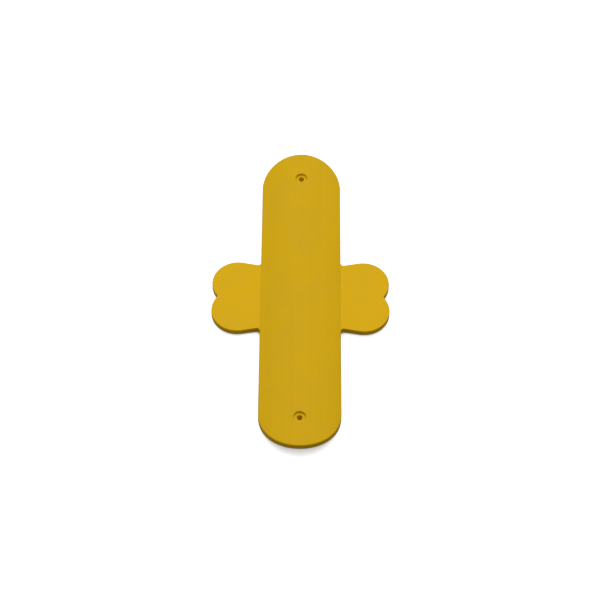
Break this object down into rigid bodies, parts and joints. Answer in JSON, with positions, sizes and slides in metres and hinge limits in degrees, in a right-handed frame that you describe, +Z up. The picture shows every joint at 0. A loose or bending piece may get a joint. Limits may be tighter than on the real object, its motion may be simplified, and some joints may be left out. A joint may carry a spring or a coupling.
{
  "type": "silicone snap phone stand",
  "caption": "Straight soft strip with rounded ends and a two-lobed wing on each side; its arched steel band snaps it into a U that props up a phone.",
  "frame": {"origin": "under the middle of the strip, in the plane that the two adhesive pads' liners rest on", "axes": "+Z up out of the convex front face; +Y along the strip, towards its upper tip; +X across the strip, out through the right wing"},
  "size_m": [0.0596, 0.12, 0.005],
  "materials": {
    "soft_yellow": "matt moulded silicone, through-dyed mustard yellow",
    "spring_steel": "rolled spring steel, thin and unpolished",
    "adhesive": "translucent white double-sided adhesive",
    "liner": "waxed paper release liner"
  },
  "bodies": {
    "centre": {"centre_jacket": "soft_yellow", "centre_band": "spring_steel"},
    "right_wing": {"right_wing": "soft_yellow", "right_adhesive_pad": "adhesive", "right_release_liner": "liner"},
    "left_wing": {"left_wing": "soft_yellow", "left_adhesive_pad": "adhesive", "left_release_liner": "liner"},
    "upper_link_1": {"upper_link_1_jacket": "soft_yellow", "upper_link_1_band": "spring_steel"},
    "upper_link_2": {"upper_link_2_jacket": "soft_yellow", "upper_link_2_band": "spring_steel"},
    "upper_link_3": {"upper_link_3_jacket": "soft_yellow", "upper_link_3_band": "spring_steel"},
    "upper_link_4": {"upper_link_4_jacket": "soft_yellow", "upper_link_4_band": "spring_steel"},
    "upper_link_5": {"upper_link_5_jacket": "soft_yellow", "upper_link_5_band": "spring_steel"},
    "upper_link_6": {"upper_link_6_jacket": "soft_yellow", "upper_link_6_band": "spring_steel"},
    "upper_link_7": {"upper_link_7_jacket": "soft_yellow", "upper_link_7_band": "spring_steel"},
    "upper_link_8": {"upper_link_8_jacket": "soft_yellow", "upper_link_8_band": "spring_steel"},
    "upper_link_9": {"upper_link_9_jacket": "soft_yellow", "upper_link_9_band": "spring_steel"},
    "upper_tip": {"upper_tip_jacket": "soft_yellow", "upper_tip_band": "spring_steel"},
    "lower_link_1": {"lower_link_1_jacket": "soft_yellow", "lower_link_1_band": "spring_steel"},
    "lower_link_2": {"lower_link_2_jacket": "soft_yellow", "lower_link_2_band": "spring_steel"},
    "lower_link_3": {"lower_link_3_jacket": "soft_yellow", "lower_link_3_band": "spring_steel"},
    "lower_link_4": {"lower_link_4_jacket": "soft_yellow", "lower_link_4_band": "spring_steel"},
    "lower_link_5": {"lower_link_5_jacket": "soft_yellow", "lower_link_5_band": "spring_steel"},
    "lower_link_6": {"lower_link_6_jacket": "soft_yellow", "lower_link_6_band": "spring_steel"},
    "lower_link_7": {"lower_link_7_jacket": "soft_yellow", "lower_link_7_band": "spring_steel"},
    "lower_link_8": {"lower_link_8_jacket": "soft_yellow", "lower_link_8_band": "spring_steel"},
    "lower_link_9": {"lower_link_9_jacket": "soft_yellow", "lower_link_9_band": "spring_steel"},
    "lower_tip": {"lower_tip_jacket": "soft_yellow", "lower_tip_band": "spring_steel"}
  },
  "joints": [
    {"name": "right_wing_flex", "type": "hinge", "parent": "centre", "child": "right_wing", "pos_m": [0.0153, 0, 0.0026], "axis": [0, -1, 0], "range_deg": [0, 20], "stiffness_Nm_per_rad": 0.004},
    {"name": "left_wing_flex", "type": "hinge", "parent": "centre", "child": "left_wing", "pos_m": [-0.0153, 0, 0.0026], "axis": [0, 1, 0], "range_deg": [0, 20], "stiffness_Nm_per_rad": 0.004},
    {"name": "upper_curl_1", "type": "hinge", "parent": "centre", "child": "upper_link_1", "pos_m": [0, 0.01725, 0.00391], "axis": [1, 0, 0], "range_deg": [0, 9.1]},
    {"name": "upper_curl_2", "type": "hinge", "parent": "upper_link_1", "child": "upper_link_2", "pos_m": [0, 0.02025, 0.00391], "axis": [1, 0, 0], "range_deg": [0, 9.1]},
    {"name": "upper_curl_3", "type": "hinge", "parent": "upper_link_2", "child": "upper_link_3", "pos_m": [0, 0.02325, 0.00391], "axis": [1, 0, 0], "range_deg": [0, 9.1]},
    {"name": "upper_curl_4", "type": "hinge", "parent": "upper_link_3", "child": "upper_link_4", "pos_m": [0, 0.02625, 0.00391], "axis": [1, 0, 0], "range_deg": [0, 9.1]},
    {"name": "upper_curl_5", "type": "hinge", "parent": "upper_link_4", "child": "upper_link_5", "pos_m": [0, 0.02925, 0.00391], "axis": [1, 0, 0], "range_deg": [0, 9.1]},
    {"name": "upper_curl_6", "type": "hinge", "parent": "upper_link_5", "child": "upper_link_6", "pos_m": [0, 0.03225, 0.00391], "axis": [1, 0, 0], "range_deg": [0, 9.1]},
    {"name": "upper_curl_7", "type": "hinge", "parent": "upper_link_6", "child": "upper_link_7", "pos_m": [0, 0.03525, 0.00391], "axis": [1, 0, 0], "range_deg": [0, 9.1]},
    {"name": "upper_curl_8", "type": "hinge", "parent": "upper_link_7", "child": "upper_link_8", "pos_m": [0, 0.03825, 0.00391], "axis": [1, 0, 0], "range_deg": [0, 9.1]},
    {"name": "upper_curl_9", "type": "hinge", "parent": "upper_link_8", "child": "upper_link_9", "pos_m": [0, 0.04125, 0.00391], "axis": [1, 0, 0], "range_deg": [0, 9.1]},
    {"name": "upper_curl_10", "type": "hinge", "parent": "upper_link_9", "child": "upper_tip", "pos_m": [0, 0.04425, 0.00391], "axis": [1, 0, 0], "range_deg": [0, 9.1]},
    {"name": "lower_curl_1", "type": "hinge", "parent": "centre", "child": "lower_link_1", "pos_m": [0, -0.01725, 0.00391], "axis": [-1, 0, 0], "range_deg": [0, 9.1]},
    {"name": "lower_curl_2", "type": "hinge", "parent": "lower_link_1", "child": "lower_link_2", "pos_m": [0, -0.02025, 0.00391], "axis": [-1, 0, 0], "range_deg": [0, 9.1]},
    {"name": "lower_curl_3", "type": "hinge", "parent": "lower_link_2", "child": "lower_link_3", "pos_m": [0, -0.02325, 0.00391], "axis": [-1, 0, 0], "range_deg": [0, 9.1]},
    {"name": "lower_curl_4", "type": "hinge", "parent": "lower_link_3", "child": "lower_link_4", "pos_m": [0, -0.02625, 0.00391], "axis": [-1, 0, 0], "range_deg": [0, 9.1]},
    {"name": "lower_curl_5", "type": "hinge", "parent": "lower_link_4", "child": "lower_link_5", "pos_m": [0, -0.02925, 0.00391], "axis": [-1, 0, 0], "range_deg": [0, 9.1]},
    {"name": "lower_curl_6", "type": "hinge", "parent": "lower_link_5", "child": "lower_link_6", "pos_m": [0, -0.03225, 0.00391], "axis": [-1, 0, 0], "range_deg": [0, 9.1]},
    {"name": "lower_curl_7", "type": "hinge", "parent": "lower_link_6", "child": "lower_link_7", "pos_m": [0, -0.03525, 0.00391], "axis": [-1, 0, 0], "range_deg": [0, 9.1]},
    {"name": "lower_curl_8", "type": "hinge", "parent": "lower_link_7", "child": "lower_link_8", "pos_m": [0, -0.03825, 0.00391], "axis": [-1, 0, 0], "range_deg": [0, 9.1]},
    {"name": "lower_curl_9", "type": "hinge", "parent": "lower_link_8", "child": "lower_link_9", "pos_m": [0, -0.04125, 0.00391], "axis": [-1, 0, 0], "range_deg": [0, 9.1]},
    {"name": "lower_curl_10", "type": "hinge", "parent": "lower_link_9", "child": "lower_tip", "pos_m": [0, -0.04425, 0.00391], "axis": [-1, 0, 0], "range_deg": [0, 9.1]}
  ],
  "couplings": [
    {"joint": "upper_curl_2", "follows": "upper_curl_1", "ratio": 1},
    {"joint": "upper_curl_3", "follows": "upper_curl_1", "ratio": 1},
    {"joint": "upper_curl_4", "follows": "upper_curl_1", "ratio": 1},
    {"joint": "upper_curl_5", "follows": "upper_curl_1", "ratio": 1},
    {"joint": "upper_curl_6", "follows": "upper_curl_1", "ratio": 1},
    {"joint": "upper_curl_7", "follows": "upper_curl_1", "ratio": 1},
    {"joint": "upper_curl_8", "follows": "upper_curl_1", "ratio": 1},
    {"joint": "upper_curl_9", "follows": "upper_curl_1", "ratio": 1},
    {"joint": "upper_curl_10", "follows": "upper_curl_1", "ratio": 1},
    {"joint": "lower_curl_2", "follows": "lower_curl_1", "ratio": 1},
    {"joint": "lower_curl_3", "follows": "lower_curl_1", "ratio": 1},
    {"joint": "lower_curl_4", "follows": "lower_curl_1", "ratio": 1},
    {"joint": "lower_curl_5", "follows": "lower_curl_1", "ratio": 1},
    {"joint": "lower_curl_6", "follows": "lower_curl_1", "ratio": 1},
    {"joint": "lower_curl_7", "follows": "lower_curl_1", "ratio": 1},
    {"joint": "lower_curl_8", "follows": "lower_curl_1", "ratio": 1},
    {"joint": "lower_curl_9", "follows": "lower_curl_1", "ratio": 1},
    {"joint": "lower_curl_10", "follows": "lower_curl_1", "ratio": 1}
  ]
}
